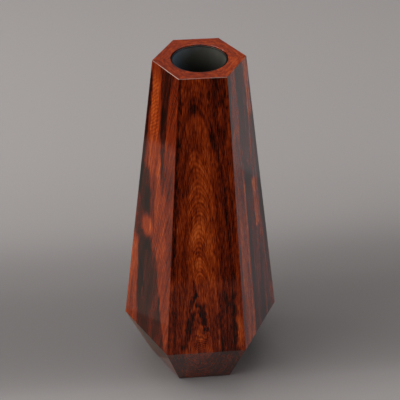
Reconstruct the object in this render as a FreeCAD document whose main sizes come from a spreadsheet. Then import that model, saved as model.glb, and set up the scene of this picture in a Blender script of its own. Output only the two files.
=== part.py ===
"""Faceted hexagonal pen pot, glued up from six rosewood staves round a lift-out metal liner.

Frame: millimetres, +Z up along the well, front stave facing -Y, origin on the
surface the pot stands on, in the middle of the base.
"""

import FreeCAD, Part
import os

import Sketcher

# Driving dimensions in millimetres. Everything else is worked out from these.
SIZES = {
    "overall_height": 230.0,    # standing surface to the top face
    "waist_height": 38.0,       # standing surface to the widest hexagon
    "top_flats": 47.0,          # across the flats of the top hexagon
    "waist_flats": 89.0,        # across the flats of the widest hexagon
    "base_flats": 60.0,         # across the flats of the base hexagon
    "arris_radius": 0.4,        # eased edges of the wood
    "well_bore": 33.0,          # diameter bored down into the staves
    "mouth_rounding": 0.4,      # rounded lip where the bore meets the top face
    "vent_bore": 6.0,           # air hole from the bottom of the well to the base
    "liner_clearance": 0.3,     # radial gap between the wood and the liner
    "liner_wall": 0.9,          # thickness of the liner's tube
    "liner_setback": 0.5,       # top face down to the liner's rim
    "liner_depth": 145.0,       # inside depth of the liner
    "rim_rounding": 0.35,       # rounded edges of the liner's rim
    "floor_thickness": 1.2,     # disc soldered under the foot of the tube
    "floor_chamfer": 0.3,       # bevel filed round the under side of that disc
    "seat_thickness": 2.0,      # cork ring that the liner stands on
    "seat_hole": 12.0,          # hole through the cork, over the air hole
    "felt_margin": 5.0,         # base flats in to the edge of the felt
    "felt_thickness": 1.5,      # felt disc under the base
    "felt_proud": 0.5,          # how far the felt stands below the wood
    "felt_clearance": 0.4,      # radial gap round the felt in its recess
    "felt_rounding": 0.3,       # soft lower edge of the felt
}

# Heights and diameters that follow from the driving dimensions.
WOOD_BOTTOM = "sizes.felt_proud"
WOOD_TOP = "sizes.overall_height"
RIM_LEVEL = f"({WOOD_TOP} - sizes.liner_setback)"
TUBE_FOOT = f"({RIM_LEVEL} - sizes.liner_depth)"
LINER_BOTTOM = f"({TUBE_FOOT} - sizes.floor_thickness)"
WELL_BOTTOM = f"({LINER_BOTTOM} - sizes.seat_thickness)"
LINER_OUTSIDE = "(sizes.well_bore - 2 * sizes.liner_clearance)"
LINER_INSIDE = f"({LINER_OUTSIDE} - 2 * sizes.liner_wall)"
FELT_DIAMETER = "(sizes.base_flats - 2 * sizes.felt_margin)"
RECESS_DIAMETER = f"({FELT_DIAMETER} + 2 * sizes.felt_clearance)"
RECESS_DEPTH = "(sizes.felt_thickness - sizes.felt_proud)"

# Direction that each stave faces, in degrees from +X.
STAVES = {
    "stave_front": -90,
    "stave_front_right": -30,
    "stave_back_right": 30,
    "stave_back": 90,
    "stave_back_left": 150,
    "stave_front_left": 210,
}
HEXAGON_SIDES = 6
TRIANGLE_SIDES = 3
LEVEL = 1e-4


def make_sheet(doc):
    """Write the driving dimensions into the document's spreadsheet."""
    sheet = doc.addObject("Spreadsheet::Sheet", "sizes")
    for row, (alias, value) in enumerate(SIZES.items(), start=1):
        sheet.set(f"A{row}", alias)
        sheet.set(f"B{row}", str(value))
        sheet.setAlias(f"B{row}", alias)
    doc.recompute()


def make_body(doc, label, height="0"):
    """Start a body whose own frame is raised to the given height."""
    body = doc.addObject("PartDesign::Body", label)
    body.Label = label
    body.setExpression("Placement.Base.z", height)
    return body


def make_sketch(body, name, height="0"):
    """Start a sketch parallel to the body's XY plane at the given height."""
    sketch = body.newObject("Sketcher::SketchObject", name)
    planes = [item for item in body.Origin.OriginFeatures if item.Role == "XY_Plane"]
    sketch.AttachmentSupport = [(planes[0], "")]
    sketch.MapMode = "FlatFace"
    sketch.setExpression("AttachmentOffset.Base.z", height)
    return sketch


def add_circle(sketch, diameter):
    """Draw a circle about the axis, its diameter bound to an expression."""
    circle = sketch.addGeometry(Part.Circle(FreeCAD.Vector(), FreeCAD.Vector(0, 0, 1), 10), False)
    sketch.addConstraint(Sketcher.Constraint("Coincident", circle, 3, -1, 1))
    size = sketch.addConstraint(Sketcher.Constraint("Diameter", circle, 20))
    sketch.setExpression(f"Constraints[{size}]", diameter)


def add_hexagon(sketch, flats):
    """Draw a regular hexagon about the axis with one side square to -Y."""
    rim = Part.Circle(FreeCAD.Vector(), FreeCAD.Vector(0, 0, 1), 10)
    guide = sketch.addGeometry(rim, True)
    sketch.addConstraint(Sketcher.Constraint("Coincident", guide, 3, -1, 1))
    corners = [rim.value(rim.LastParameter * side / HEXAGON_SIDES) for side in range(HEXAGON_SIDES)]
    lines = []
    for start, end in zip(corners, corners[1:] + corners[:1]):
        lines.append(sketch.addGeometry(Part.LineSegment(start, end), False))
    for line, following in zip(lines, lines[1:] + lines[:1]):
        sketch.addConstraint(Sketcher.Constraint("Coincident", line, 2, following, 1))
        sketch.addConstraint(Sketcher.Constraint("PointOnObject", line, 2, guide))
    for line in lines[1:]:
        sketch.addConstraint(Sketcher.Constraint("Equal", lines[0], line))
    sketch.addConstraint(Sketcher.Constraint("PointOnObject", lines[0], 1, -1))
    size = sketch.addConstraint(Sketcher.Constraint("Diameter", guide, 20))
    sketch.setExpression(f"Constraints[{size}]", f"{flats} / cos(30 deg)")


def add_pad(body, sketch, name, length):
    """Raise a sketch upwards by a length bound to an expression."""
    pad = body.newObject("PartDesign::Pad", name)
    pad.Profile = sketch
    pad.setExpression("Length", length)
    sketch.Visibility = False
    body.Document.recompute()
    return pad


def add_pocket(body, sketch, name, depth, upwards=False):
    """Cut a sketch into the body and make sure that it took material away."""
    before = body.Shape.Volume
    pocket = body.newObject("PartDesign::Pocket", name)
    pocket.Profile = sketch
    pocket.Reversed = upwards
    pocket.setExpression("Length", depth)
    sketch.Visibility = False
    body.Document.recompute()
    if not body.Shape.Volume < before:
        raise RuntimeError(f"{name} cuts nothing")


def add_draft(body, base, name, plane, low, angle, flare):
    """Lean the upright faces that start at one height, hinged on a plane."""
    sides = []
    for number, face in enumerate(base.Shape.Faces, start=1):
        upright = abs(face.normalAt(0, 0).z) < LEVEL
        if upright and abs(face.BoundBox.ZMin - low) < LEVEL:
            sides.append(f"Face{number}")
    draft = body.newObject("PartDesign::Draft", name)
    draft.Base = (base, sides)
    draft.NeutralPlane = (plane, "")
    draft.Reversed = flare
    draft.setExpression("Angle", angle)
    body.Document.recompute()
    return draft


def add_fillet(body, name, radius, wanted):
    """Round the edges of the body's tip that pass a test."""
    base = body.Tip
    fillet = body.newObject("PartDesign::Fillet", name)
    numbered = enumerate(base.Shape.Edges, start=1)
    fillet.Base = (base, [f"Edge{number}" for number, edge in numbered if wanted(edge)])
    fillet.setExpression("Radius", radius)
    body.Document.recompute()
    return fillet


def is_straight(edge):
    """Tell whether an edge is a straight line."""
    return isinstance(edge.Curve, Part.Line)


def is_rim_at(height):
    """Make a test for the closed round edges at one height."""
    def test(edge):
        box = edge.BoundBox
        return edge.isClosed() and abs(box.ZMin - height) < LEVEL and abs(box.ZMax - height) < LEVEL
    return test


def make_datum(body, name, height):
    """Make a level datum plane at the given height."""
    plane = body.newObject("PartDesign::Plane", name)
    planes = [item for item in body.Origin.OriginFeatures if item.Role == "XY_Plane"]
    plane.AttachmentSupport = [(planes[0], "")]
    plane.MapMode = "FlatFace"
    plane.setExpression("AttachmentOffset.Base.z", height)
    body.Document.recompute()
    return plane


def make_glued_block(doc):
    """Make the whole wooden form before it is divided into its staves.

    Two hexagonal prisms meet at the waist. The lower one flares out from the
    base, the upper one leans in to the top, and the well, the air hole and the
    felt's recess are bored on the axis.
    """
    sheet = doc.sizes
    body = make_body(doc, "glued_block")

    base_plane = make_datum(body, "base_plane", WOOD_BOTTOM)
    base = make_sketch(body, "base_hexagon", WOOD_BOTTOM)
    add_hexagon(base, "sizes.base_flats")
    foot = add_pad(body, base, "foot_prism", "sizes.waist_height - sizes.felt_proud")
    foot_lean = "atan((sizes.waist_flats - sizes.base_flats) / 2 / (sizes.waist_height - sizes.felt_proud))"
    add_draft(body, foot, "foot_flare", base_plane, sheet.felt_proud, foot_lean, True)

    waist_plane = make_datum(body, "waist_plane", "sizes.waist_height")
    waist = make_sketch(body, "waist_hexagon", "sizes.waist_height")
    add_hexagon(waist, "sizes.waist_flats")
    tower = add_pad(body, waist, "tower_prism", "sizes.overall_height - sizes.waist_height")
    tower_lean = "atan((sizes.waist_flats - sizes.top_flats) / 2 / (sizes.overall_height - sizes.waist_height))"
    add_draft(body, tower, "tower_taper", waist_plane, sheet.waist_height, tower_lean, False)

    add_fillet(body, "eased_arrises", "sizes.arris_radius", is_straight)

    well = make_sketch(body, "well_circle", WOOD_TOP)
    add_circle(well, "sizes.well_bore")
    add_pocket(body, well, "well", f"{WOOD_TOP} - {WELL_BOTTOM}")
    add_fillet(body, "rounded_mouth", "sizes.mouth_rounding", is_rim_at(sheet.overall_height))

    vent = make_sketch(body, "vent_circle", WOOD_BOTTOM)
    add_circle(vent, "sizes.vent_bore")
    add_pocket(body, vent, "air_hole", f"{WELL_BOTTOM} - {WOOD_BOTTOM}", upwards=True)

    recess = make_sketch(body, "recess_circle", WOOD_BOTTOM)
    add_circle(recess, RECESS_DIAMETER)
    add_pocket(body, recess, "felt_recess", RECESS_DEPTH, upwards=True)
    return body


def make_stave(doc, label, facing, block):
    """Divide one stave from the block along its two mitres.

    An equilateral prism with one edge on the axis spans the sixty degrees
    between two mitres, so what it shares with the block is one stave.
    """
    wedge = doc.addObject("Part::Prism", f"{label}_wedge")
    wedge.Polygon = TRIANGLE_SIDES
    wedge.setExpression("Circumradius", "sizes.waist_flats / 2")
    wedge.setExpression("Height", WOOD_TOP)
    turned = FreeCAD.Rotation(FreeCAD.Vector(0, 0, 1), facing + 180)
    wedge.Placement = FreeCAD.Placement(FreeCAD.Vector(), turned)
    wedge.setExpression("Placement.Base.x", f"sizes.waist_flats / 2 * cos({facing} deg)")
    wedge.setExpression("Placement.Base.y", f"sizes.waist_flats / 2 * sin({facing} deg)")
    stave = doc.addObject("Part::Common", label)
    stave.Label = label
    stave.Base = block
    stave.Tool = wedge
    return stave


def make_liner_tube(doc):
    """Make the liner's tube, with its rim eased inside and out."""
    body = make_body(doc, "liner_tube", TUBE_FOOT)
    ring = make_sketch(body, "tube_ring")
    add_circle(ring, LINER_OUTSIDE)
    add_circle(ring, LINER_INSIDE)
    add_pad(body, ring, "tube_wall", "sizes.liner_depth")
    add_fillet(body, "eased_rim", "sizes.rim_rounding", is_rim_at(doc.sizes.liner_depth))
    return body


def make_liner_floor(doc):
    """Make the disc soldered under the foot of the tube and filed flush with it."""
    body = make_body(doc, "liner_floor", LINER_BOTTOM)
    disc = make_sketch(body, "floor_circle")
    add_circle(disc, LINER_OUTSIDE)
    pad = add_pad(body, disc, "floor_disc", "sizes.floor_thickness")
    chamfer = body.newObject("PartDesign::Chamfer", "filed_bevel")
    lower_rim = is_rim_at(0)
    numbered = enumerate(pad.Shape.Edges, start=1)
    chamfer.Base = (pad, [f"Edge{number}" for number, edge in numbered if lower_rim(edge)])
    chamfer.setExpression("Size", "sizes.floor_chamfer")
    return body


def make_cork_seat(doc):
    """Make the cork ring that the liner stands on at the bottom of the well."""
    body = make_body(doc, "cork_seat", WELL_BOTTOM)
    ring = make_sketch(body, "seat_ring")
    add_circle(ring, LINER_OUTSIDE)
    add_circle(ring, "sizes.seat_hole")
    add_pad(body, ring, "seat_disc", "sizes.seat_thickness")
    return body


def make_base_felt(doc):
    """Make the felt disc glued into the recess under the base."""
    body = make_body(doc, "base_felt")
    disc = make_sketch(body, "felt_circle")
    add_circle(disc, FELT_DIAMETER)
    add_pad(body, disc, "felt_disc", "sizes.felt_thickness")
    add_fillet(body, "soft_edge", "sizes.felt_rounding", is_rim_at(0))
    return body


def check_document(doc, pieces):
    """Stop if any object failed or any piece is not a sound solid."""
    for item in doc.Objects:
        if "Invalid" in item.State or "Error" in item.State:
            raise RuntimeError(f"{item.Label} failed: {item.State}")
    for piece in pieces:
        shape = piece.Shape
        if shape.isNull() or not shape.isValid() or len(shape.Solids) != 1:
            raise RuntimeError(f"{piece.Label} is not one sound solid")


def main():
    """Build every piece and write one STEP file for each."""
    doc = FreeCAD.newDocument("faceted_pen_pot")
    make_sheet(doc)
    block = make_glued_block(doc)
    pieces = [make_stave(doc, label, facing, block) for label, facing in STAVES.items()]
    pieces += [make_liner_tube(doc), make_liner_floor(doc), make_cork_seat(doc), make_base_felt(doc)]
    doc.recompute()
    check_document(doc, pieces)
    os.makedirs("parts", exist_ok=True)
    for piece in pieces:
        piece.Shape.exportStep(f"parts/{piece.Label}.step")
        box = piece.Shape.BoundBox
        print(f"{piece.Label}: {piece.Shape.Volume:.1f} mm3, z {box.ZMin:.2f} to {box.ZMax:.2f}")


main()
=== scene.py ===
"""Looks of a six-sided rosewood pen pot with a lift-out patinated brass liner.

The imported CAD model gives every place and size. Each wooden stave, the liner's
tube and floor, the cork seat and the base felt is built again here as a clean
numpy surface with eased edges, and dressed in a finish of its own.
"""

import logging
import math
from dataclasses import dataclass
from enum import Enum

import bpy
import numpy as np
from mathutils import Matrix, Vector


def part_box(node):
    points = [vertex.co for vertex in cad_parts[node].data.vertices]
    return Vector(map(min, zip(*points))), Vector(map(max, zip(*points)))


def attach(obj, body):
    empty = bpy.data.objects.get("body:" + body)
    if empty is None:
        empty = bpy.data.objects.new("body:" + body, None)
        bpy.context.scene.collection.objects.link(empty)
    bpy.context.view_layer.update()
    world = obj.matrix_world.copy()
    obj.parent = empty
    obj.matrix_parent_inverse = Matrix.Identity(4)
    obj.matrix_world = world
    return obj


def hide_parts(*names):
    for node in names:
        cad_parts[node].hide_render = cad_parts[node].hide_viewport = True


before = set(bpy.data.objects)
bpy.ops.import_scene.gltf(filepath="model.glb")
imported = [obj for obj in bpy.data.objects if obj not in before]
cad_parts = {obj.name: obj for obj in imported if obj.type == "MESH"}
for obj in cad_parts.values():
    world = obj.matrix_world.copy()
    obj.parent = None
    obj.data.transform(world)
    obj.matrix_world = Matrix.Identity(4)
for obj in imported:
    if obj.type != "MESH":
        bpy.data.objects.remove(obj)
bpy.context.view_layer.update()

MM = 0.001
LOG = logging.getLogger("pen_pot")
Socket = bpy.types.NodeSocket


def linear(hex_colour: str) -> tuple[float, float, float, float]:
    """Turn an sRGB hex colour into linear light.

    Args:
        hex_colour: six hex digits with a leading hash.

    Returns:
        Linear red, green, blue and an alpha of one.
    """
    channels = [int(hex_colour[start:start + 2], 16) / 255 for start in (1, 3, 5)]
    light = [c / 12.92 if c <= 0.04045 else ((c + 0.055) / 1.055) ** 2.4 for c in channels]
    return (*light, 1.0)


# ---------------------------------------------------------------- node graphs

class Graph:
    """The node tree of one finish, with a surface shader wired to its output."""

    def __init__(self, name: str) -> None:
        """Start an empty material.

        Args:
            name: the material's name.
        """
        self.material = bpy.data.materials.new(name)
        self.material.use_nodes = True
        self.tree = self.material.node_tree
        self.tree.nodes.clear()

    def add(self, kind: str, inputs: dict, **settings) -> bpy.types.bpy_prop_collection:
        """Add one node with its settings, and set or link its inputs.

        Args:
            kind: the node's type name, without the ShaderNode prefix.
            inputs: input name or number to a constant or another node's output.
            settings: attributes of the node.

        Returns:
            The node's outputs.
        """
        node = self.tree.nodes.new("ShaderNode" + kind)
        for name, value in settings.items():
            setattr(node, name, value)
        for key, value in inputs.items():
            if isinstance(value, Socket):
                self.tree.links.new(value, node.inputs[key])
            else:
                node.inputs[key].default_value = value
        return node.outputs


def fill_ramp(ramp: bpy.types.ColorRamp, stops: tuple) -> None:
    """Set a colour ramp's stops.

    Args:
        ramp: the ramp.
        stops: position and sRGB hex colour of each stop, in order.
    """
    while len(ramp.elements) < len(stops):
        ramp.elements.new(0.5)
    for element, (position, colour) in zip(ramp.elements, stops):
        element.position = position
        element.color = linear(colour)


# ------------------------------------------------------------------- finishes

@dataclass(frozen=True)
class Streak:
    """A tapering band of pigment along the grain of a stave, in millimetres."""

    top: float
    bottom: float
    across_top: float
    across_bottom: float
    half_top: float
    half_bottom: float
    tone: float
    edge: float = 1.2
    fade: float = 9.0


@dataclass(frozen=True)
class Ripple:
    """Fiddleback figure: bright cross bars inside a streak's outline."""

    area: Streak
    spacing: float
    tilt: float


@dataclass(frozen=True)
class Arcs:
    """Evenly spaced growth layers that show as nested arches inside an outline."""

    area: Streak
    spacing: float


@dataclass(frozen=True)
class Ring:
    """One growth layer that is darker or lighter than the rest."""

    radius: float
    half_width: float
    tone: float


@dataclass(frozen=True)
class Eye:
    """A closed knot-like swirl with a pale core and a dark surround."""

    height: float
    across: float
    half_height: float
    half_width: float
    core: float
    halo: float


@dataclass(frozen=True)
class Board:
    """How the board of one stave was cut, and what figure shows in it.

    Places are in the stave's own directions in millimetres: outward from the
    pot's axis, across to the right as seen from outside, and up.
    """

    seed: float
    pith_out: float
    pith_across: float
    tone: float = 0.5
    line_spacing: float = 0.62
    line_depth: float = 0.22
    band_depth: float = 0.25
    fibre: float = 0.09
    painted_arris_highlight: float = 0.1
    # Strength of the painted highlight along the top arris.
    wander: float = 2.2
    jag: float = 0.5
    streaks: tuple[Streak, ...] = ()
    ripples: tuple[Ripple, ...] = ()
    end_tone: float = 0.6
    arcs: tuple[Arcs, ...] = ()
    rings: tuple[Ring, ...] = ()
    eyes: tuple[Eye, ...] = ()


@dataclass
class Figure:
    """The sockets that a stave's figure is drawn from, and its tone so far.

    Across and up are millimetres in the stave; the warped across wanders with
    the grain, and the radius is the distance from the tree's pith.
    """

    graph: Graph
    place: Socket
    across: Socket
    up: Socket
    warped_across: Socket
    radius: Socket
    tone: Socket | float

    def lift(self, change: Socket, share: float = 1.0) -> None:
        """Add a share of a change to the tone."""
        self.tone = self.graph.add("Math", {0: change, 1: share, 2: self.tone},
                                   operation="MULTIPLY_ADD")[0]


@dataclass(frozen=True)
class Rosewood:
    """Brazilian-type rosewood, planed, sanded and finished in lacquer that was cut back to a satin.

    Heartwood runs from near-black ink lines through red-brown to orange. The
    lacquer fills most of the grain, so the faces give a soft, wide gloss over
    a deep saturated colour, with short pores showing as darker dashes.
    """

    facing: float
    board: Board

    # Heartwood colours from the darkest ink line to the palest layer.
    TONES = ((0.0, "#140804"), (0.2, "#360f05"), (0.4, "#601b07"), (0.6, "#872d0c"),
             (0.8, "#ac4414"), (1.0, "#d06327"))
    # Colour of the painted highlight along the top arris.
    ARRIS_HIGHLIGHT_COLOUR = "#e9c3ad"
    ARRIS_HIGHLIGHT_FROM = 19.0    # the painted arris highlight lies further from the axis than this
    ROUGHNESS = 0.3
    LACQUER_ROUGHNESS = 0.09
    LACQUER_IOR = 1.5
    PORE_WIDTH = 0.42     # real pores are 0.2 mm; drawn coarser so that they show
    PORE_LENGTH = 8.0
    PORE_SHADE = 0.11
    PORE_DEPTH = 0.02
    # Sizes of each pattern outward, across and up, in millimetres.
    BEND = (16.0, 16.0, 60.0)
    JAG = (2.6, 2.6, 6.0)
    FINE_FIBRE = (0.48, 0.48, 55.0)
    BROAD_FIBRE = (1.8, 1.8, 80.0)
    BAND = (6.5, 9.0, 120.0)
    UNEVEN = (5.0, 5.0, 9.0)
    MOTTLE = (1.0, 3.6, 40.0)
    # This size breaks up the painted highlight along the top arris.
    HIGHLIGHT_BREAKUP = (9.0, 9.0, 9.0)
    SEED_STEPS = (7.31, 3.17, 5.93)

    def dress(self, name: str) -> bpy.types.Material:
        """Build the finish as a solid pattern that runs through the stave.

        Args:
            name: the material's name.

        Returns:
            The finished material.
        """
        graph = Graph(name)
        board = self.board
        figure = self.start(graph)
        for eye in board.eyes:
            self.add_eye(figure, eye)
        self.add_growth_lines(figure)
        for ring in board.rings:
            self.add_ring(figure, ring)
        for streak in board.streaks:
            figure.lift(self.outline(figure, streak), streak.tone)
        for arcs in board.arcs:
            self.add_bars(figure, arcs, figure.radius)
        for ripple in board.ripples:
            self.add_ripple(figure, ripple)
        self.add_fibre(figure)
        pores = self.pores(figure)
        figure.lift(pores, -self.PORE_SHADE)
        self.add_end_grain(figure)

        ramp = graph.add("ValToRGB", {0: figure.tone})
        fill_ramp(ramp[0].node.color_ramp, self.TONES)
        # Painted highlight: the top arris is paled, most on the front-left stave.
        colour = self.paint_arris_highlight(figure, ramp[0])
        bump = graph.add("Bump", {"Height": pores, "Strength": 0.35,
                                  "Distance": self.PORE_DEPTH * MM}, invert=True)
        shader = graph.add("BsdfPrincipled", {
            "Base Color": colour, "Roughness": self.ROUGHNESS, "Specular IOR Level": 0.0,
            "Normal": bump[0], "Coat Weight": 1.0, "Coat Roughness": self.LACQUER_ROUGHNESS,
            "Coat IOR": self.LACQUER_IOR,
        })
        graph.add("OutputMaterial", {"Surface": shader[0]})
        return graph.material

    def start(self, graph: Graph) -> Figure:
        """Work out the stave's places, bent by two sizes of noise, and its pith.

        Object coordinates are turned so that they read outward, across and up
        in millimetres. The slow bend moves the growth layers; the jag on top
        of it moves only streaks and eyes.

        Args:
            graph: the node graph.

        Returns:
            The figure, with the board's plain tone.
        """
        board = self.board
        turn = (0.0, 0.0, -math.radians(self.facing))
        place = graph.add("Mapping", {"Vector": graph.add("TexCoord", {})["Object"], "Rotation": turn,
                                      "Scale": (1 / MM, 1 / MM, 1 / MM)})[0]
        places = [place]
        for size, depth, shift in ((self.BEND, board.wander, 1.0), (self.JAG, board.jag, 2.0)):
            noise = graph.add("TexNoise", {"Vector": self.scaled(graph, place, size, shift),
                                           "Scale": 1.0, "Detail": 1.0})["Color"]
            centred = graph.add("VectorMath", {0: noise, 1: (-0.5, -0.5, -0.5)}, operation="ADD")[0]
            places.append(graph.add("VectorMath", {0: centred, 1: (2 * depth, 2 * depth, 0.0),
                                                   2: places[-1]}, operation="MULTIPLY_ADD")[0])
        _, bent, warped = places
        pith = (board.pith_out, board.pith_across, 0.0)
        from_pith = graph.add("VectorMath", {0: bent, 1: pith}, operation="SUBTRACT")[0]
        flat = graph.add("VectorMath", {0: from_pith, 1: (1.0, 1.0, 0.0)}, operation="MULTIPLY")[0]
        radius = graph.add("VectorMath", {0: flat}, operation="LENGTH")[1]
        _, across, up = graph.add("SeparateXYZ", {0: place})[:3]
        warped_across = graph.add("SeparateXYZ", {0: warped})[1]
        return Figure(graph, place, across, up, warped_across, radius, board.tone)

    def scaled(self, graph: Graph, vector: Socket, size: tuple, shift: float) -> Socket:
        """Divide a place by a pattern's size in millimetres and shift it by the seed.

        Args:
            graph: the node graph.
            vector: the place to scale.
            size: the pattern's size outward, across and up.
            shift: a further shift, so that patterns of one size differ.

        Returns:
            The scaled place.
        """
        offset = tuple(self.board.seed * step + shift for step in self.SEED_STEPS)
        inverse = tuple(1 / length for length in size)
        return graph.add("VectorMath", {0: vector, 1: inverse, 2: offset}, operation="MULTIPLY_ADD")[0]

    def add_fibre(self, figure: Figure) -> None:
        """Streak the tone along the fibre with noise drawn out up the trunk.

        Args:
            figure: the figure so far.
        """
        graph = figure.graph
        for size, shift, share in ((self.FINE_FIBRE, 9.0, 1.3), (self.BROAD_FIBRE, 10.0, 0.7)):
            reach = self.board.fibre * share
            noise = graph.add("TexNoise", {"Vector": self.scaled(graph, figure.place, size, shift),
                                           "Scale": 1.0, "Detail": 1.0})[0]
            figure.lift(graph.add("MapRange", {0: noise, 1: 0.32, 2: 0.68, 3: -reach, 4: reach})[0])

    def add_growth_lines(self, figure: Figure) -> None:
        """Darken the tone by fine growth lines and by broad pigment bands.

        All are noise of the distance from the pith, hardly changing along the
        trunk. Each row below gives a size, the noise's detail, how deep it
        darkens, the noise values that it runs between, and a shift.

        Args:
            figure: the figure so far.
        """
        graph, board = figure.graph, self.board
        spacing, depth = board.line_spacing, board.line_depth
        layered = graph.add("CombineXYZ", {0: figure.radius, 1: figure.across, 2: figure.up})[0]
        for size, detail, reach, low, high, shift in (
                ((spacing, 22.0, 55.0), 2.0, depth, 0.40, 0.62, 3.0),
                ((spacing * 3.1, 14.0, 70.0), 1.0, depth * 0.8, 0.42, 0.66, 4.0),
                (self.BAND, 2.0, board.band_depth, 0.36, 0.64, 5.0)):
            noise = graph.add("TexNoise", {"Vector": self.scaled(graph, layered, size, shift),
                                           "Scale": 1.0, "Detail": detail, "Roughness": 0.55})[0]
            figure.lift(graph.add("MapRange", {0: noise, 1: low, 2: high, 3: reach * 0.5, 4: -reach},
                                  interpolation_type="SMOOTHSTEP")[0])

    def add_ring(self, figure: Figure, ring: Ring) -> None:
        """Tint one growth layer, at its distance from the pith.

        Args:
            figure: the figure so far.
            ring: the layer.
        """
        graph = figure.graph
        distance = graph.add("Math", {0: figure.radius, 1: ring.radius}, operation="SUBTRACT")[0]
        distance = graph.add("Math", {0: distance}, operation="ABSOLUTE")[0]
        half = ring.half_width
        figure.lift(graph.add("MapRange", {0: distance, 1: half * 0.5, 2: half * 1.5, 3: ring.tone, 4: 0.0},
                              interpolation_type="SMOOTHSTEP")[0])

    def outline(self, figure: Figure, streak: Streak) -> Socket:
        """Mask a streak: one inside its slanted sides and its ends, nought outside.

        Args:
            figure: the figure so far.
            streak: the streak.

        Returns:
            The mask.
        """
        graph, up = figure.graph, figure.up
        ends = {0: up, 1: streak.bottom, 2: streak.top}
        middle = graph.add("MapRange", {**ends, 3: streak.across_bottom, 4: streak.across_top})[0]
        half = graph.add("MapRange", {**ends, 3: streak.half_bottom, 4: streak.half_top})[0]
        side = graph.add("Math", {0: figure.warped_across, 1: middle}, operation="SUBTRACT")[0]
        side = graph.add("Math", {0: side}, operation="ABSOLUTE")[0]
        side = graph.add("Math", {0: half, 1: side}, operation="SUBTRACT")[0]
        above = graph.add("Math", {0: up, 1: streak.bottom}, operation="SUBTRACT")[0]
        below = graph.add("Math", {0: streak.top, 1: up}, operation="SUBTRACT")[0]
        end = graph.add("Math", {0: above, 1: below}, operation="MINIMUM")[0]
        masks = [graph.add("MapRange", {0: distance, 1: -soft / 2, 2: soft / 2},
                           interpolation_type="SMOOTHSTEP")[0]
                 for distance, soft in ((side, streak.edge), (end, streak.fade))]
        return graph.add("Math", {0: masks[0], 1: masks[1]}, operation="MULTIPLY")[0]

    def add_bars(self, figure: Figure, bars: Arcs | Ripple, distance: Socket) -> None:
        """Add light and dark bars: a sine of a distance, inside the bars' outline.

        Args:
            figure: the figure so far.
            bars: their outline, tone and spacing.
            distance: from the pith for nested arches, up for cross bars.
        """
        graph = figure.graph
        turn = graph.add("Math", {0: distance, 1: 2 * math.pi / bars.spacing}, operation="MULTIPLY")[0]
        wave = graph.add("Math", {0: turn}, operation="SINE")[0]
        mask = self.outline(figure, bars.area)
        figure.lift(graph.add("Math", {0: wave, 1: mask}, operation="MULTIPLY")[0], bars.area.tone)

    def add_ripple(self, figure: Figure, ripple: Ripple) -> None:
        """Add fiddleback bars: a sine of height, tilted across and unevenly spaced.

        Args:
            figure: the figure so far.
            ripple: the bars.
        """
        graph, across, up = figure.graph, figure.warped_across, figure.up
        tilted = graph.add("Math", {0: across, 1: ripple.tilt, 2: up}, operation="MULTIPLY_ADD")[0]
        place = graph.add("CombineXYZ", {0: across, 1: 0.0, 2: up})[0]
        uneven = graph.add("TexNoise", {"Vector": self.scaled(graph, place, self.UNEVEN, 6.0),
                                        "Scale": 1.0})[0]
        tilted = graph.add("Math", {0: uneven, 1: ripple.spacing * 1.5, 2: tilted},
                           operation="MULTIPLY_ADD")[0]
        self.add_bars(figure, ripple, tilted)

    def add_eye(self, figure: Figure, eye: Eye) -> None:
        """Swirl the growth lines round an eye and tint its core and surround.

        The distance from the eye's middle is measured in its half sizes.

        Args:
            figure: the figure so far.
            eye: the eye.
        """
        graph = figure.graph
        place = graph.add("CombineXYZ", {0: figure.warped_across, 1: figure.up, 2: 0.0})[0]
        size = (1 / eye.half_width, 1 / eye.half_height, 0.0)
        shift = (-eye.across / eye.half_width, -eye.height / eye.half_height, 0.0)
        place = graph.add("VectorMath", {0: place, 1: size, 2: shift}, operation="MULTIPLY_ADD")[0]
        distance = graph.add("VectorMath", {0: place}, operation="LENGTH")[1]
        swell, core, halo = (
            graph.add("MapRange", {0: distance, 1: start, 2: stop, 3: reach, 4: 0.0},
                      interpolation_type="SMOOTHSTEP")[0]
            for start, stop, reach in ((0.0, 2.4, eye.half_width * 0.9),
                                       (0.45, 1.2, eye.core - eye.halo),
                                       (1.3, 2.2, eye.halo)))
        figure.radius = graph.add("Math", {0: figure.radius, 1: swell}, operation="ADD")[0]
        figure.lift(core)
        figure.lift(halo)

    def pores(self, figure: Figure) -> Socket:
        """Scatter pores: noise stretched along the grain and cut off high.

        Args:
            figure: the figure so far.

        Returns:
            One in a pore, nought between pores.
        """
        graph = figure.graph
        size = (self.PORE_WIDTH, self.PORE_WIDTH, self.PORE_LENGTH)
        noise = graph.add("TexNoise", {"Vector": self.scaled(graph, figure.place, size, 7.0),
                                       "Scale": 1.0, "Detail": 0.0})[0]
        return graph.add("MapRange", {0: noise, 1: 0.54, 2: 0.66}, interpolation_type="SMOOTHSTEP")[0]

    def add_end_grain(self, figure: Figure) -> None:
        """Swap to paler, mottled wood where the surface cuts across the grain.

        The end grain is mixed in by how far the surface faces up or down.

        Args:
            figure: the figure so far.
        """
        graph, tone = figure.graph, self.board.end_tone
        normal = graph.add("SeparateXYZ", {0: graph.add("TexCoord", {})["Normal"]})[2]
        facing = graph.add("Math", {0: normal}, operation="ABSOLUTE")[0]
        facing = graph.add("MapRange", {0: facing, 1: 0.8, 2: 0.97}, interpolation_type="SMOOTHSTEP")[0]
        mottle = graph.add("TexNoise", {"Vector": self.scaled(graph, figure.place, self.MOTTLE, 8.0),
                                        "Scale": 1.0, "Detail": 3.0, "Roughness": 0.6})[0]
        pale = graph.add("MapRange", {0: mottle, 1: 0.3, 2: 0.7, 3: tone - 0.2, 4: tone + 0.16})[0]
        figure.tone = graph.add("Mix", {0: facing, 2: figure.tone, 3: pale}, data_type="FLOAT")[0]

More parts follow.
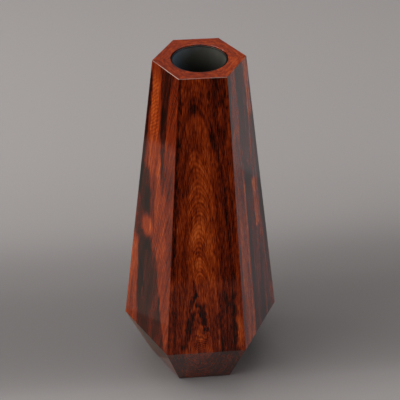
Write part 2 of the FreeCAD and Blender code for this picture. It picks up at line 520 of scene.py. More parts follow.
    def paint_arris_highlight(self, figure: Figure, colour: Socket) -> Socket:
        """Paint a pale highlight along the arris round the top, broken up by noise.

        The arris is where the surface turns between upright and level, well
        outside the mouth and above the waist.

        Args:
            figure: the figure.
            colour: colour so far.

        Returns:
            The new colour.
        """
        graph, painted_arris_highlight = figure.graph, self.board.painted_arris_highlight
        normal = graph.add("SeparateXYZ", {0: graph.add("TexCoord", {})["Normal"]})[2]
        turned = graph.add("Math", {0: normal, 1: 0.55, 2: 0.35}, operation="COMPARE")[0]
        outward = graph.add("SeparateXYZ", {0: figure.place})[0]
        outside = graph.add("Math", {0: outward, 1: self.ARRIS_HIGHLIGHT_FROM}, operation="GREATER_THAN")[0]
        # Noise breaks the painted arris highlight into patches.
        highlight_breakup = graph.add("TexNoise", {"Vector": self.scaled(graph, figure.place, self.HIGHLIGHT_BREAKUP, 11.0),
                                      "Scale": 1.0})[0]
        highlight_breakup = graph.add("MapRange", {0: highlight_breakup, 1: 0.35, 2: 0.6, 3: 0.3 * painted_arris_highlight, 4: painted_arris_highlight})[0]
        mask = graph.add("Math", {0: turned, 1: outside}, operation="MULTIPLY")[0]
        mask = graph.add("Math", {0: mask, 1: highlight_breakup}, operation="MULTIPLY")[0]
        return graph.add("Mix", {0: mask, 6: colour, 7: linear(self.ARRIS_HIGHLIGHT_COLOUR)}, data_type="RGBA")[2]


@dataclass(frozen=True)
class PatinatedBrass:
    """Drawn brass tube, chemically blackened and waxed.

    The patina leaves a dark olive to blue-grey satin metal, with faint draw marks along it.
    Its tone drifts at random in clouds, and runs from blue-grey on the left of the tube
    to olive on the right: the blue-grey on the left is a painted reflection.
    """

    rim: float
    middle_of_wall: float

    # Blue-grey on the left of the tube, olive on the right; the blue-grey on the left is a painted
    # reflection.
    BLUE = "#a3b9cf"
    OLIVE = "#98968a"
    # The studio's wide lights reach deeper into the tube than they would in a room, so the inside's
    # tone is lowered with depth to help it go dark. The outside keeps one tone.
    DEEP = 22 * MM
    DEEP_TONE = 0.05
    OUTSIDE_TONE = 0.45
    RIM_SHADE_DEPTH = 0.45 * MM   # the rim is darkened down to this far below it: painted shade that dims its highlight
    RIM_SHADE_TONE = 0.12       # share of the tone left on the rim
    BARE = 0.8            # share of the metal that shows through its patina
    ROUGHNESS = 0.36
    CLOUD = 14 * MM       # size of the tone's random clouds
    # Half the span across which the painted reflection turns from blue-grey to olive.
    REFLECTION_HALF_SPAN = 16 * MM
    DRAW_MARK = 1 / 1.6   # millimetres; real marks are finer and are drawn coarser so that they show
    DRAW_STRETCH = 0.02   # marks run along the tube, fifty times as long as they are wide

    def dress(self, name: str) -> bpy.types.Material:
        """Build the finish.

        Args:
            name: the material's name.

        Returns:
            The finished material.
        """
        graph = Graph(name)
        place = graph.add("TexCoord", {})["Object"]
        cloud = graph.add("TexNoise", {"Vector": place, "Scale": 1 / self.CLOUD, "Detail": 3.0})[0]
        across, _, up = graph.add("SeparateXYZ", {0: place})
        # Painted reflection: blue-grey on the left turning to olive on the right, added to the random
        # clouds.
        side = graph.add("MapRange", {0: across, 1: -self.REFLECTION_HALF_SPAN, 2: self.REFLECTION_HALF_SPAN})[0]
        tone_cloud_and_painted_reflection = graph.add("Math", {0: cloud, 1: side}, operation="ADD")[0]
        colour = graph.add("ValToRGB", {0: tone_cloud_and_painted_reflection})
        fill_ramp(colour[0].node.color_ramp, ((0.5, self.BLUE), (1.0, self.OLIVE)))
        inside_tone = graph.add("MapRange", {0: up, 1: self.rim - self.DEEP, 2: self.rim,
                                             3: self.DEEP_TONE, 4: 1.0}, interpolation_type="SMOOTHSTEP")[0]
        level = graph.add("VectorMath", {0: place, 1: (1.0, 1.0, 0.0)}, operation="MULTIPLY")[0]
        radius = graph.add("VectorMath", {0: level}, operation="LENGTH")[1]
        is_outside = graph.add("Math", {0: radius, 1: self.middle_of_wall}, operation="GREATER_THAN")[0]
        wall_tone = graph.add("Mix", {0: is_outside, 2: inside_tone, 3: self.OUTSIDE_TONE},
                              data_type="FLOAT")[0]
        # Painted shade: the top of the rim is darkened so that it shows less highlight.
        cut = graph.add("MapRange", {0: up, 1: self.rim - self.RIM_SHADE_DEPTH * 2, 2: self.rim - self.RIM_SHADE_DEPTH,
                                     3: 1.0, 4: self.RIM_SHADE_TONE})[0]
        paleness = graph.add("Math", {0: wall_tone, 1: cut}, operation="MULTIPLY")[0]
        tint = graph.add("VectorMath", {0: colour[0], "Scale": paleness}, operation="SCALE")[0]
        drawn = graph.add("Mapping", {"Vector": place, "Scale": (1 / MM, 1 / MM, self.DRAW_STRETCH / MM)})[0]
        marks = graph.add("TexNoise", {"Vector": drawn, "Scale": 1 / self.DRAW_MARK, "Detail": 3.0})[0]
        rough = graph.add("MapRange", {0: marks, 1: 0.3, 2: 0.7, 3: self.ROUGHNESS - 0.08,
                                       4: self.ROUGHNESS + 0.1})[0]
        bump = graph.add("Bump", {"Height": marks, "Strength": 0.3, "Distance": 0.02 * MM})[0]
        shader = graph.add("BsdfPrincipled", {"Base Color": tint, "Metallic": self.BARE, "Roughness": rough,
                                              "Normal": bump})
        graph.add("OutputMaterial", {"Surface": shader[0]})
        return graph.material


@dataclass(frozen=True)
class SheetCork:
    """Agglomerated sheet cork, cut and left raw: matte tan grains in darker binder."""

    GRAIN = 1.4      # millimetres
    PALE = "#b98a58"
    DARK = "#5f3d22"

    def dress(self, name: str) -> bpy.types.Material:
        """Build the finish.

        Args:
            name: the material's name.

        Returns:
            The finished material.
        """
        graph = Graph(name)
        place = graph.add("TexCoord", {})["Object"]
        grains = graph.add("TexVoronoi", {"Vector": place, "Scale": 1 / (self.GRAIN * MM)})
        tint = graph.add("SeparateXYZ", {0: grains["Color"]})[0]
        edge = graph.add("TexVoronoi", {"Vector": place, "Scale": 1 / (self.GRAIN * MM)},
                         feature="DISTANCE_TO_EDGE")[0]
        gap = graph.add("MapRange", {0: edge, 1: 0.02, 2: 0.14})[0]
        value = graph.add("Math", {0: tint, 1: gap}, operation="MULTIPLY")[0]
        colour = graph.add("ValToRGB", {0: value})
        fill_ramp(colour[0].node.color_ramp, ((0.0, self.DARK), (1.0, self.PALE)))
        bump = graph.add("Bump", {"Height": gap, "Strength": 0.6, "Distance": 0.15 * MM})[0]
        shader = graph.add("BsdfPrincipled", {"Base Color": colour[0], "Roughness": 0.9, "Normal": bump})
        graph.add("OutputMaterial", {"Surface": shader[0]})
        return graph.material


@dataclass(frozen=True)
class PressedFelt:
    """Pressed wool felt, dyed dark green: matte, fibrous, with a soft sheen."""

    FIBRE = 0.5      # millimetres; real fibres are 0.02 mm and are drawn coarser so that they show
    DARK = "#182a20"
    PALE = "#2f4636"

    def dress(self, name: str) -> bpy.types.Material:
        """Build the finish.

        Args:
            name: the material's name.

        Returns:
            The finished material.
        """
        graph = Graph(name)
        place = graph.add("TexCoord", {})["Object"]
        fibres = graph.add("TexNoise", {"Vector": place, "Scale": 1 / (self.FIBRE * MM), "Detail": 5.0,
                                        "Distortion": 1.5})[0]
        colour = graph.add("ValToRGB", {0: fibres})
        fill_ramp(colour[0].node.color_ramp, ((0.3, self.DARK), (0.7, self.PALE)))
        bump = graph.add("Bump", {"Height": fibres, "Strength": 0.8, "Distance": 0.2 * MM})[0]
        shader = graph.add("BsdfPrincipled", {"Base Color": colour[0], "Roughness": 1.0, "Sheen Weight": 0.6,
                                              "Sheen Roughness": 0.5, "Normal": bump})
        graph.add("OutputMaterial", {"Surface": shader[0]})
        return graph.material


# -------------------------------------------------------------------- surfaces

def rounded(corners: np.ndarray, radii: np.ndarray, steps: int = 6) -> np.ndarray:
    """Round the corners of a closed outline.

    Each corner gives way to a circular arc tangent to both of its sides: the
    arc starts at radius / tan(half the corner's angle) from the corner, and
    its points are worked out by turning the first radius about the centre. An
    extra point a little outside each tangent point keeps the flats flat under
    smooth shading.

    Args:
        corners: corner points, one row each.
        radii: radius at each corner.
        steps: segments in each arc.

    Returns:
        The outline's points, one row each.
    """
    points = []
    for index, (corner, radius) in enumerate(zip(corners, radii)):
        back = corners[index - 1] - corner
        ahead = corners[(index + 1) % len(corners)] - corner
        back, ahead = back / np.linalg.norm(back), ahead / np.linalg.norm(ahead)
        half = math.acos(float(np.clip(back @ ahead, -1, 1))) / 2
        reach = radius / math.tan(half)
        bisector = (back + ahead) / np.linalg.norm(back + ahead)
        centre = corner + bisector * radius / math.sin(half)
        start = corner + back * reach - centre
        finish = corner + ahead * reach - centre
        sweep = math.pi - 2 * half
        share = np.linspace(0, 1, steps + 1)[:, None]
        arc = (np.sin((1 - share) * sweep) * start + np.sin(share * sweep) * finish) / math.sin(sweep)
        guard = 0.35 * radius
        points.append(corner + back * (reach + guard))
        points.extend(centre + arc)
        points.append(corner + ahead * (reach + guard))
    return np.array(points)


def grid_object(name: str, points: np.ndarray, closed_rows: bool,
                closed_columns: bool) -> bpy.types.Object:
    """Make a closed mesh from a grid of points.

    Point (row, column) is joined to the next row and the next column by one
    quad. Where the rows or the columns don't close on themselves, one face
    caps each of the two end loops.

    Args:
        name: the object's name.
        points: rows by columns by three coordinates, in metres.
        closed_rows: whether the last row joins the first.
        closed_columns: whether the last column joins the first.

    Returns:
        The object, at the origin.
    """
    rows, columns = points.shape[:2]
    index = np.arange(rows * columns).reshape(rows, columns)
    down = np.roll(index, -1, axis=0)
    quads = np.stack([index, np.roll(index, -1, axis=1), np.roll(down, -1, axis=1), down], axis=-1)
    quads = quads[:rows if closed_rows else -1, :columns if closed_columns else -1]
    faces = quads.reshape(-1, 4).tolist()
    if not closed_rows:
        faces += [index[0, ::-1].tolist(), index[-1].tolist()]
    if not closed_columns:
        faces += [index[:, 0].tolist(), index[::-1, -1].tolist()]
    mesh = bpy.data.meshes.new(name)
    mesh.from_pydata(points.reshape(-1, 3), [], faces)
    mesh.update()
    mesh.polygons.foreach_set("use_smooth", np.ones(len(mesh.polygons), bool))
    if not closed_columns:
        ends = np.empty(len(mesh.edges) * 2, int)
        mesh.edges.foreach_get("vertices", ends)
        column = ends.reshape(-1, 2) % columns
        sharp = (column[:, 0] == column[:, 1]) & np.isin(column[:, 0], (0, columns - 1))
        mesh.attributes.new("sharp_edge", "BOOLEAN", "EDGE").data.foreach_set("value", sharp)
    obj = bpy.data.objects.new(name, mesh)
    bpy.context.scene.collection.objects.link(obj)
    return obj


def revolved(name: str, outline: np.ndarray, segments: int = 160) -> bpy.types.Object:
    """Turn an outline of radius and height about the axis.

    The point at turn angle a is (radius cos a, radius sin a, height). Points
    on the axis are left out, and a flat face closes each end there instead.

    Args:
        name: the object's name.
        outline: radius and height, one row each, in metres. It closes on
            itself, or runs anticlockwise from the axis to the axis.
        segments: steps round the axis.

    Returns:
        The object.
    """
    angle = np.linspace(0, 2 * math.pi, segments, endpoint=False)[None, :]
    is_ring = outline[:, 0].min() > 0
    outline = outline[outline[:, 0] > 0]
    radius, height = outline[:, 0][:, None], outline[:, 1][:, None]
    points = np.stack([radius * np.cos(angle), radius * np.sin(angle), height + 0 * angle], axis=-1)
    return grid_object(name, points, is_ring, True)


def add_piece(obj: bpy.types.Object, material: bpy.types.Material, body: str,
              node: str) -> None:
    """Dress a piece, put it on its body and let it stand for its CAD node.

    Args:
        obj: the piece.
        material: its finish.
        body: the body that it rides on.
        node: the CAD node that it replaces.
    """
    obj.data.materials.append(material)
    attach(obj, body)
    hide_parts(node)
    LOG.info("%s: %d faces on %s for %s", obj.name, len(obj.data.polygons), body, node)


# ---------------------------------------------------------------------- pieces

class Side(Enum):
    """The six staves, with the direction that each faces in degrees from +X."""

    FRONT = -90
    FRONT_RIGHT = -30
    BACK_RIGHT = 30
    BACK = 90
    BACK_LEFT = 150
    FRONT_LEFT = 210


@dataclass(frozen=True)
class StavedBody:
    """The six mitred staves, glued round the well."""

    top: float
    bottom: float
    well_bottom: float
    well_radius: float
    waist_height: float = 38.0 * MM
    top_flats: float = 47.0 * MM
    waist_flats: float = 89.0 * MM
    base_flats: float = 60.0 * MM
    arris_radius: float = 0.4 * MM
    mouth_rounding: float = 0.4 * MM
    vent_radius: float = 3.0 * MM
    recess_radius: float = 25.4 * MM
    recess_depth: float = 1.0 * MM
    inner_rounding: float = 0.15 * MM

    def section(self) -> tuple[np.ndarray, np.ndarray]:
        """Work out the closed outline of a stave cut down its middle.

        Returns:
            Distance from the axis and height of each point, and how hexagonal
            the ring through it is: one on the outer faces, nought on the bored
            surfaces, and in between across the top and base.
        """
        corners = np.array([
            (self.base_flats / 2, self.bottom), (self.waist_flats / 2, self.waist_height),
            (self.top_flats / 2, self.top), (self.well_radius, self.top),
            (self.well_radius, self.well_bottom), (self.vent_radius, self.well_bottom),
            (self.vent_radius, self.bottom + self.recess_depth),
            (self.recess_radius, self.bottom + self.recess_depth), (self.recess_radius, self.bottom),
        ])
        radii = np.array([self.arris_radius] * 3 + [self.mouth_rounding] + [self.inner_rounding] * 5)
        outline = rounded(corners, radii)
        per_corner = len(outline) // len(corners)
        hexagonal = np.repeat((np.arange(len(corners)) < 3).astype(float), per_corner)
        return outline, hexagonal

    def ring(self, distance: np.ndarray, hexagonal: np.ndarray) -> np.ndarray:
        """Work out one sixth of the ring through each point of the section.

        The outer ring is a straight side of a hexagon that ends in half of a
        rounded corner: its centre is set in from the side by the arris radius,
        and it turns through thirty degrees to the mitre. The bored ring is an
        arc of sixty degrees. The two are mixed by how hexagonal the ring is.

        Args:
            distance: distance of the ring's middle from the axis.
            hexagonal: one for a hexagon, nought for a circle.

        Returns:
            Points of rows by columns by (outward, across).
        """
        turn = np.radians(np.linspace(0, 30, 6))
        straight = np.concatenate([[-0.985], np.linspace(-0.95, 0.95, 21), [0.985]])
        side = np.concatenate([-np.ones(6), straight, np.ones(6)])
        bend = np.concatenate([-turn[::-1], 0 * straight, turn])
        third = math.tan(math.radians(30))
        middle = distance[:, None]
        arris = self.arris_radius
        flat_out = middle - arris + arris * np.cos(bend)
        flat_across = (middle - arris) * third * side + arris * np.sin(bend)
        angle = np.arctan2(flat_across, flat_out)
        share = hexagonal[:, None]
        out = share * flat_out + (1 - share) * middle * np.cos(angle)
        across = share * flat_across + (1 - share) * middle * np.sin(angle)
        return np.stack([out, across], axis=-1)

    def stave(self, side: Side) -> bpy.types.Object:
        """Build one stave and turn it to its side of the pot.

        Args:
            side: which stave.

        Returns:
            The stave's object.
        """
        outline, hexagonal = self.section()
        ring = self.ring(outline[:, 0], hexagonal)
        facing = math.radians(side.value)
        x = ring[..., 0] * math.cos(facing) - ring[..., 1] * math.sin(facing)
        y = ring[..., 0] * math.sin(facing) + ring[..., 1] * math.cos(facing)
        z = np.repeat(outline[:, 1][:, None], ring.shape[1], axis=1)
        points = np.stack([x, y, z], axis=-1)
        return grid_object("rosewood_" + side.name.lower(), points, True, False)

    def build(self, boards: dict[Side, Board]) -> None:
        """Build and dress all six staves.

        Args:
            boards: the board that each stave was cut from.
        """
        for side, board in boards.items():
            name = side.name.lower()
            finish = Rosewood(facing=side.value, board=board).dress("lacquered_rosewood_" + name)
            add_piece(self.stave(side), finish, "pot", "stave_" + name)


@dataclass(frozen=True)
class Liner:
    """The lift-out metal cup: a tube with a disc soldered under it."""

    rim: float
    foot: float
    under: float
    outside: float
    wall: float = 0.9 * MM
    rim_rounding: float = 0.35 * MM
    floor_bevel: float = 0.3 * MM
    solder: float = 0.8 * MM
    solder_gap: float = 0.02 * MM
    foot_edge: float = 0.08 * MM

    def build(self) -> None:
        """Build and dress the tube and its floor.

        The solder is a quarter circle tangent to the tube's inside and to the
        floor: its angle runs from level to straight down.
        """
        inside = self.outside - self.wall
        edge = self.foot_edge
        tube = rounded(
            np.array([(inside, self.foot), (self.outside, self.foot), (self.outside, self.rim),
                      (inside, self.rim)]),
            np.array([edge, edge, self.rim_rounding, self.rim_rounding]))
        finish = PatinatedBrass(rim=self.rim, middle_of_wall=self.outside - self.wall / 2)
        brass = finish.dress("patinated_brass")
        add_piece(revolved("liner_wall", tube), brass, "liner", "liner_tube")
        disc = rounded(
            np.array([(0.0, self.under), (self.outside, self.under), (self.outside, self.foot),
                      (inside, self.foot)]),
            np.array([0.0, self.floor_bevel, edge, 0.0]))
        turn = np.radians(np.linspace(0, 90, 9))
        centre = inside - self.solder_gap - self.solder
        fillet = np.stack([centre + self.solder * np.cos(turn),
                           self.foot + self.solder * (1 - np.sin(turn))], axis=-1)
        flat = np.array([(centre - self.solder, self.foot), (0.0, self.foot)])
        per_corner = len(disc) // 4
        solder_foot = [(inside - self.solder_gap, self.foot)]
        floor = np.concatenate([disc[:3 * per_corner], solder_foot, fillet, flat])
        add_piece(revolved("liner_base", floor), brass, "liner", "liner_floor")


@dataclass(frozen=True)
class CorkSeat:
    """The cork ring under the liner."""

    top: float
    bottom: float
    outside: float
    hole: float = 6.0 * MM
    cut_edge: float = 0.2 * MM

    def build(self) -> None:
        """Build and dress the ring."""
        corners = np.array([(self.hole, self.bottom), (self.outside, self.bottom), (self.outside, self.top),
                            (self.hole, self.top)])
        ring = rounded(corners, np.full(4, self.cut_edge))
        finish = SheetCork().dress("sheet_cork")
        add_piece(revolved("cork_ring", ring), finish, "pot", "cork_seat")


@dataclass(frozen=True)
class BaseFelt:
    """The felt disc glued into the recess under the base."""

    top: float
    bottom: float
    radius: float
    lower_edge: float = 0.3 * MM
    upper_edge: float = 0.1 * MM

    def build(self) -> None:
        """Build and dress the disc."""
        corners = np.array([(0.0, self.bottom), (self.radius, self.bottom), (self.radius, self.top),
                            (0.0, self.top)])
        disc = rounded(corners, np.array([0.0, self.lower_edge, self.upper_edge, 0.0]))
        finish = PressedFelt().dress("pressed_felt")
        add_piece(revolved("felt_disc", disc), finish, "pot", "base_felt")


# --------------------------------------------------------------------- boards

FRONT_BOARD = Board(
    seed=1.0, pith_out=47.8, pith_across=-3.5, tone=0.61, line_depth=0.09, band_depth=0.05,
    wander=1.0, jag=2.6, fibre=0.12, painted_arris_highlight=0.2,
    end_tone=0.58,
    arcs=(Arcs(Streak(182, 96, -3.6, -3.6, 6.0, 9.0, 0.08, 3.0, 12.0), 0.36),
          Arcs(Streak(62, 40, -2.5, -2.5, 4.0, 5.0, 0.12, 2.0, 6.0), 0.5)),
    rings=(Ring(22.4, 0.4, -0.08),),
    streaks=(
        Streak(240, 95, -12.9, -21.3, 1.5, 2.0, -0.26, 1.2),
        Streak(232, 205, -10.6, -11.8, 0.8, 0.8, 0.10, 0.8),
        Streak(240, 186, -4.0, -4.0, 14.0, 16.0, -0.05, 3.0, 12.0),
        Streak(240, 186, 7.5, 9.0, 5.5, 5.0, -0.24, 3.0, 16.0),
        Streak(200, 106, -12.0, -16.0, 4.0, 4.5, -0.07, 3.0, 14.0),
        Streak(190, 92, 9.0, 13.0, 5.0, 7.5, -0.08, 3.0, 14.0),
        Streak(236, 222, -3.0, -3.0, 4.0, 4.0, 0.12, 3.0, 6.0),
        Streak(212, 200, 9.5, 9.8, 1.6, 1.4, 0.20, 1.5, 5.0),
        Streak(218, 208, -5.0, -5.5, 3.0, 3.2, -0.12, 2.5, 7.0),
        Streak(178, 84, 12.0, 17.0, 4.5, 7.5, -0.10, 3.0, 20.0),
        Streak(178, 80, -1.5, -2.0, 4.0, 8.0, 0.12, 5.0, 26.0),
        Streak(117, 113, -6.5, -3.5, 2.6, 1.6, -0.22, 1.6, 3.0),
        Streak(146, 122, -3.4, -3.4, 1.0, 8.5, 0.07, 2.0, 6.0),
        Streak(84, 36, 13.5, 15.0, 5.0, 6.5, -0.26, 3.0, 10.0),
        Streak(66, 42, 21.5, 22.5, 1.8, 1.8, 0.16, 1.5, 6.0),
        Streak(95, 82, -7.6, -6.6, 0.7, 1.6, -0.36, 1.4, 3.0),
        Streak(85, 71, -5.6, -10.8, 1.3, 1.1, -0.34, 1.4, 3.0),
        Streak(77, 60, -3.4, -0.6, 2.6, 1.7, -0.36, 1.8, 4.0),
        Streak(71, 42, -8.2, -14.4, 2.1, 1.7, -0.36, 2.0, 5.0),
        Streak(58, 53, 0.2, -1.0, 1.6, 1.2, -0.24, 1.4, 3.0),
        Streak(90, -5, -20.5, -19.5, 4.0, 6.0, -0.12, 3.0, 12.0),
        Streak(37, -12, 1.0, 1.0, 30.0, 30.0, -0.14, 2.0, 6.0),
        Streak(38, -12, 14.0, 12.0, 8.0, 8.0, -0.12, 3.0, 6.0),
    ),
    eyes=(Eye(53.0, -3.5, 9.0, 3.4, 0.05, -0.12),),
)
FRONT_LEFT_BOARD = Board(
    seed=2.0, pith_out=70.0, pith_across=34.0, tone=0.59, line_depth=0.09, band_depth=0.09,
    wander=1.6, jag=1.2, fibre=0.06, painted_arris_highlight=0.45, end_tone=0.55,
    streaks=(
        Streak(222, 140, -13.3, -19.8, 2.0, 3.6, -0.40, 1.6),
        Streak(240, 160, 0.8, 4.2, 6.2, 0.6, -0.25, 0.7),
        Streak(206, 150, 2.6, 5.4, 3.0, 1.4, -0.16, 1.2, 8.0),
        Streak(160, 106, -14.0, -12.5, 6.5, 9.5, -0.26, 2.5),
        Streak(147, 132, -8.0, -8.6, 3.0, 3.0, -0.20, 2.0, 6.0),
        Streak(114, 102, -3.4, -4.5, 2.6, 4.5, -0.14, 2.0, 6.0),
        Streak(106, 24, -6.0, 7.0, 10.0, 17.5, -0.31, 2.2),
        Streak(92, 70, -14.0, -5.5, 1.4, 1.6, -0.20, 1.5, 5.0),
        Streak(78, 55, 12.0, 12.5, 0.8, 0.8, -0.18, 0.8, 6.0),
        Streak(104, -5, -21.0, -19.0, 5.0, 8.0, 0.10, 2.0),
        Streak(222, 158, -8.6, -3.0, 3.0, 6.4, 0.17, 1.0, 12.0),
        Streak(160, 100, 3.0, 8.5, 5.0, 8.0, 0.10, 4.0, 16.0),
        Streak(170, 150, 10.0, 11.0, 5.0, 5.0, -0.08, 3.0, 8.0),
    ),
    ripples=(
        Ripple(Streak(222, 184, -9.0, -6.0, 2.8, 4.6, 0.09, 2.0), 2.6, -1.0),
        Ripple(Streak(224, 200, 10.5, 11.0, 3.4, 4.0, 0.08, 2.0), 2.8, 0.9),
        Ripple(Streak(168, 100, 6.0, 8.0, 4.0, 8.0, 0.06, 3.0), 4.6, 1.1),
    ),
    eyes=(Eye(120.0, -6.8, 9.5, 7.0, 0.40, -0.10),),
)
FRONT_RIGHT_BOARD = Board(
    seed=3.0, pith_out=10.0, pith_across=-75.0, tone=0.60, line_depth=0.10, band_depth=0.22,
    wander=1.2, jag=1.4, fibre=0.12, painted_arris_highlight=0.2, end_tone=0.66,
    streaks=(
        Streak(240, 192, -12.3, -14.0, 1.6, 1.5, -0.30, 1.2),
        Streak(240, 190, -6.5, -9.0, 2.8, 4.5, 0.22, 1.2, 12.0),
        Streak(240, 150, 2.0, 2.0, 4.6, 7.0, -0.20, 2.5),
        Streak(240, 193, 9.8, 11.0, 3.0, 2.2, 0.30, 1.5),
        Streak(193, 60, 14.5, 22.0, 2.0, 3.0, -0.28, 1.5),
        Streak(160, -5, 2.0, 8.0, 5.5, 17.0, -0.29, 3.0),
        Streak(151, 114, 7.6, 9.0, 2.5, 2.4, 0.50, 1.5, 6.0),
        Streak(196, 96, -10.5, -12.0, 5.5, 6.0, 0.18, 2.0, 12.0),
        Streak(160, 92, -5.2, -5.0, 0.8, 0.8, 0.18, 0.8),
        Streak(95, -5, -16.0, -17.0, 7.0, 8.0, 0.10, 2.0),
    ),
)
BACK_BOARD = Board(
    seed=4.0, pith_out=52.0, pith_across=4.0, tone=0.56, line_depth=0.12, band_depth=0.14, wander=1.6,
    rings=(Ring(9.5, 0.7, -0.22), Ring(19.0, 0.6, -0.16)),
    streaks=(
        Streak(240, 60, 11.0, 18.0, 2.4, 4.0, -0.28, 2.0),
        Streak(180, -5, -9.0, -20.0, 1.6, 5.0, -0.25, 2.5),
        Streak(120, 60, -2.0, 3.0, 1.0, 2.4, -0.38, 1.2),
    ),
)
BACK_RIGHT_BOARD = Board(
    seed=5.0, pith_out=30.0, pith_across=50.0, tone=0.60, line_depth=0.10, band_depth=0.16, wander=1.6,
    streaks=(
        Streak(240, 90, -4.0, -9.0, 2.5, 6.0, -0.32, 1.5),
        Streak(140, -5, 8.0, 15.0, 4.0, 8.0, -0.30, 3.0),
    ),
    ripples=(Ripple(Streak(215, 160, 7.0, 9.0, 4.0, 5.0, 0.11, 2.0), 2.5, 0.5),),
)
BACK_LEFT_BOARD = Board(
    seed=6.0, pith_out=66.0, pith_across=-14.0, tone=0.58, line_depth=0.11, band_depth=0.14, wander=1.8,
    rings=(Ring(24.0, 0.7, -0.20), Ring(31.0, 0.7, -0.20)),
    streaks=(
        Streak(240, 120, 6.0, 11.0, 2.0, 3.0, -0.30, 1.5),
        Streak(150, 20, -12.0, -16.0, 3.0, 7.0, -0.34, 2.5),
    ),
)
BOARDS = {
    Side.FRONT: FRONT_BOARD,
    Side.FRONT_RIGHT: FRONT_RIGHT_BOARD,
    Side.BACK_RIGHT: BACK_RIGHT_BOARD,
    Side.BACK: BACK_BOARD,
    Side.BACK_LEFT: BACK_LEFT_BOARD,
    Side.FRONT_LEFT: FRONT_LEFT_BOARD,
}


# ---------------------------------------------------------------------- studio

@dataclass(frozen=True)
class SoftBox:
    """One soft studio light."""

    name: str
    place: tuple[float, float, float]
    width: float
    height: float
    power: float
    colour: str = "#ffffff"

    def hang(self, target: Vector) -> None:
        """Hang the light and point it at a target.

        Args:
            target: the point that it faces.
        """
        lamp = bpy.data.lights.new(self.name, "AREA")
        lamp.shape = "RECTANGLE"
        lamp.size, lamp.size_y = self.width, self.height
        lamp.energy = self.power
        lamp.color = linear(self.colour)[:3]
        obj = bpy.data.objects.new(self.name, lamp)
        bpy.context.scene.collection.objects.link(obj)
        obj.location = self.place
        obj.rotation_euler = (target - Vector(self.place)).to_track_quat("-Z", "Y").to_euler()


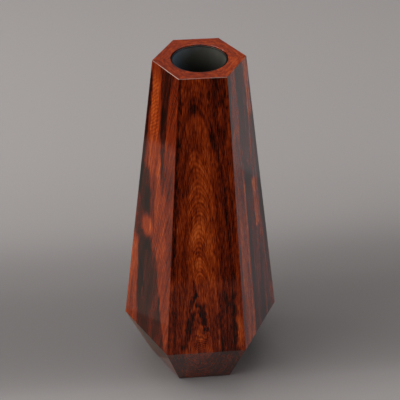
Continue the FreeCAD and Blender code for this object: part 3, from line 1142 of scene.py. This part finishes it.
@dataclass(frozen=True)
class Studio:
    """A flat paper floor, soft lights and the camera."""

    aim_height: float = 0.1287
    azimuth: float = -4.94
    elevation: float = 36.52
    distance: float = 0.6413
    roll: float = -0.254
    lens: float = 91.33
    paper_colour: str = "#a8a3a1"
    # Near-black of the painted reflection past the paper's edges.
    dark_reflection_colour: str = "#0c0b0b"
    paper_front: float = -0.21
    paper_left: float = -0.37
    strip_left: float = -0.03
    strip_right: float = 0.06
    strip_middle: float = -0.1
    left_near: float = -0.105
    bright_from: float = 0.13
    reach: float = 4.0
    # Painted shade on the floor: a dark band across it at the pot stands for the pot's shadow, and the paper
    # is lighter further off.
    painted_shade_levels: tuple = ((-0.5, 1.0), (-0.1, 1.0), (-0.04, 0.78), (0.02, 0.5), (0.08, 0.58), (0.17, 0.9),
                     (0.3, 1.0), (1.0, 0.9))
    world_colour: str = "#a9a7a8"
    world_strength: float = 0.35

    # Sheets that only the lacquer mirrors: painted reflections, each coloured for the brightness that the
    # faces show there.
    STRIP_FRONT = "#6a6866"
    STRIP_NEAR = "#b5b0ab"
    LEFT = "#c6c0b6"
    NEAR = "#938e85"
    BACK = "#f2eeef"
    RIGHT = "#d6cfd1"
    BRIGHT = "#f6f0f2"

    def sheet(self, name: str, corners: tuple, colour: str, painted_shade_levels: tuple = ()) -> None:
        """Lay a flat rectangle of paper, seen either directly or in reflections.

        Args:
            name: the sheet's name.
            corners: lowest and highest x and y.
            colour: its colour.
            painted_shade_levels: distance behind the pot and share of the colour there, for the
                floor that the eye sees, whose dip round the pot is a painted shadow; none
                for a sheet that is only reflected.
        """
        seen = bool(painted_shade_levels)
        low_x, low_y, high_x, high_y = corners
        mesh = bpy.data.meshes.new(name)
        places = [(low_x, low_y, 0), (high_x, low_y, 0), (high_x, high_y, 0), (low_x, high_y, 0)]
        mesh.from_pydata(places, [], [(0, 1, 2, 3)])
        obj = bpy.data.objects.new(name, mesh)
        bpy.context.scene.collection.objects.link(obj)
        graph = Graph(name)
        tint = linear(colour)
        if seen:
            # Painted shadow: the floor's colour follows the levels by distance behind the pot.
            place = graph.add("SeparateXYZ", {0: graph.add("TexCoord", {})["Object"]})
            share = graph.add("MapRange", {0: place[1], 1: painted_shade_levels[0][0], 2: painted_shade_levels[-1][0]})[0]
            curve = graph.add("FloatCurve", {1: share})
            points = curve[0].node.mapping.curves[0].points
            span = painted_shade_levels[-1][0] - painted_shade_levels[0][0]
            for index, (distance, level) in enumerate(painted_shade_levels):
                spot = ((distance - painted_shade_levels[0][0]) / span, level)
                if 0 < index < len(painted_shade_levels) - 1:
                    points.new(*spot)
                else:
                    points[0 if index == 0 else -1].location = spot
            tint = graph.add("VectorMath", {0: linear(colour)[:3], "Scale": curve[0]}, operation="SCALE")[0]
        shader = graph.add("BsdfPrincipled", {"Base Color": tint, "Roughness": 0.9,
                                              "Specular IOR Level": 0.2})
        graph.add("OutputMaterial", {"Surface": shader[0]})
        mesh.materials.append(graph.material)
        # A sheet that is only reflected is a painted reflection: the camera, diffuse light and shadows pass
        # it by.
        obj.visible_camera = seen
        obj.visible_diffuse = seen
        obj.visible_glossy = not seen
        obj.visible_shadow = False

    def lay_floor(self) -> None:
        """Lay the paper floor, with its painted shadow round the pot, and the sheets that only the lacquer
        mirrors: painted reflections, near-black past the paper's edges and grey to white round the pot.
        """
        far, near, left = self.reach, self.paper_front, self.paper_left
        strip, foot = self.strip_right, self.strip_left
        self.sheet("floor", (-far, -far, far, far), self.paper_colour, self.painted_shade_levels)
        self.sheet("dark_reflection_front", (-far, -far, far, near), self.dark_reflection_colour)
        self.sheet("dark_reflection_left", (-far, near, left, far), self.dark_reflection_colour)
        middle = self.strip_middle
        self.sheet("strip_front", (foot, near, strip, middle), self.STRIP_FRONT)
        self.sheet("strip_near", (foot, middle, strip, 0.0), self.STRIP_NEAR)
        self.sheet("sheet_left", (left, near, self.left_near, far), self.LEFT)
        self.sheet("sheet_near", (self.left_near, near, foot, far), self.NEAR)
        self.sheet("sheet_back", (foot, 0.0, strip, far), self.BACK)
        self.sheet("sheet_right", (strip, near, far, self.bright_from), self.RIGHT)
        self.sheet("sheet_bright", (strip, self.bright_from, far, far), self.BRIGHT)

    def light(self) -> None:
        """Hang the soft lights and set a dim surround."""
        target = Vector((0.0, 0.0, 0.1))
        for box in (
                SoftBox("overhead_box", (-0.45, 0.05, 1.45), 2.2, 2.2, 22.0),
                SoftBox("left_box", (-1.4, -0.5, 0.9), 0.9, 1.2, 9.0),
                SoftBox("edge_box", (-1.2, 0.38, 0.66), 0.35, 0.35, 2.0),
                SoftBox("right_box", (1.5, -0.3, 0.8), 0.8, 1.0, 4.5)):
            box.hang(target)
        world = bpy.data.worlds.new("studio")
        world.use_nodes = True
        background = world.node_tree.nodes["Background"]
        background.inputs["Color"].default_value = linear(self.world_colour)
        background.inputs["Strength"].default_value = self.world_strength
        bpy.context.scene.world = world

    def place_camera(self) -> None:
        """Place the camera so that its axis crosses the pot's axis at the aim height."""
        azimuth, elevation = math.radians(self.azimuth), math.radians(self.elevation)
        away = Vector((math.sin(azimuth) * math.cos(elevation), -math.cos(azimuth) * math.cos(elevation),
                       math.sin(elevation)))
        lens = bpy.data.cameras.new("camera")
        lens.lens = self.lens
        lens.clip_start = 0.01
        camera = bpy.data.objects.new("camera", lens)
        bpy.context.scene.collection.objects.link(camera)
        turn = (-away).to_track_quat("-Z", "Y").to_matrix().to_4x4()
        place = Matrix.Translation(Vector((0, 0, self.aim_height)) + away * self.distance)
        camera.matrix_world = place @ turn @ Matrix.Rotation(math.radians(self.roll), 4, "Z")
        bpy.context.scene.camera = camera

    def build(self) -> None:
        """Build the whole studio."""
        self.lay_floor()
        self.light()
        self.place_camera()
        bpy.context.scene.view_settings.view_transform = "Standard"


def build_pieces() -> None:
    """Build every piece of the pot at the places that the CAD model gives."""
    stave_low, stave_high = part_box("stave_front")
    tube_low, tube_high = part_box("liner_tube")
    floor_low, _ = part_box("liner_floor")
    cork_low, cork_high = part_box("cork_seat")
    felt_low, felt_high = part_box("base_felt")
    StavedBody(top=stave_high.z, bottom=stave_low.z, well_bottom=cork_low.z,
               well_radius=tube_high.x + 0.3 * MM).build(BOARDS)
    Liner(rim=tube_high.z, foot=tube_low.z, under=floor_low.z, outside=tube_high.x).build()
    CorkSeat(top=cork_high.z, bottom=cork_low.z, outside=cork_high.x).build()
    BaseFelt(top=felt_high.z, bottom=felt_low.z, radius=felt_high.x).build()


def main() -> None:
    """Build the studio and the pot."""
    logging.basicConfig(level=logging.INFO, format="%(message)s")
    Studio().build()
    build_pieces()


if __name__ == "__main__":
    main()
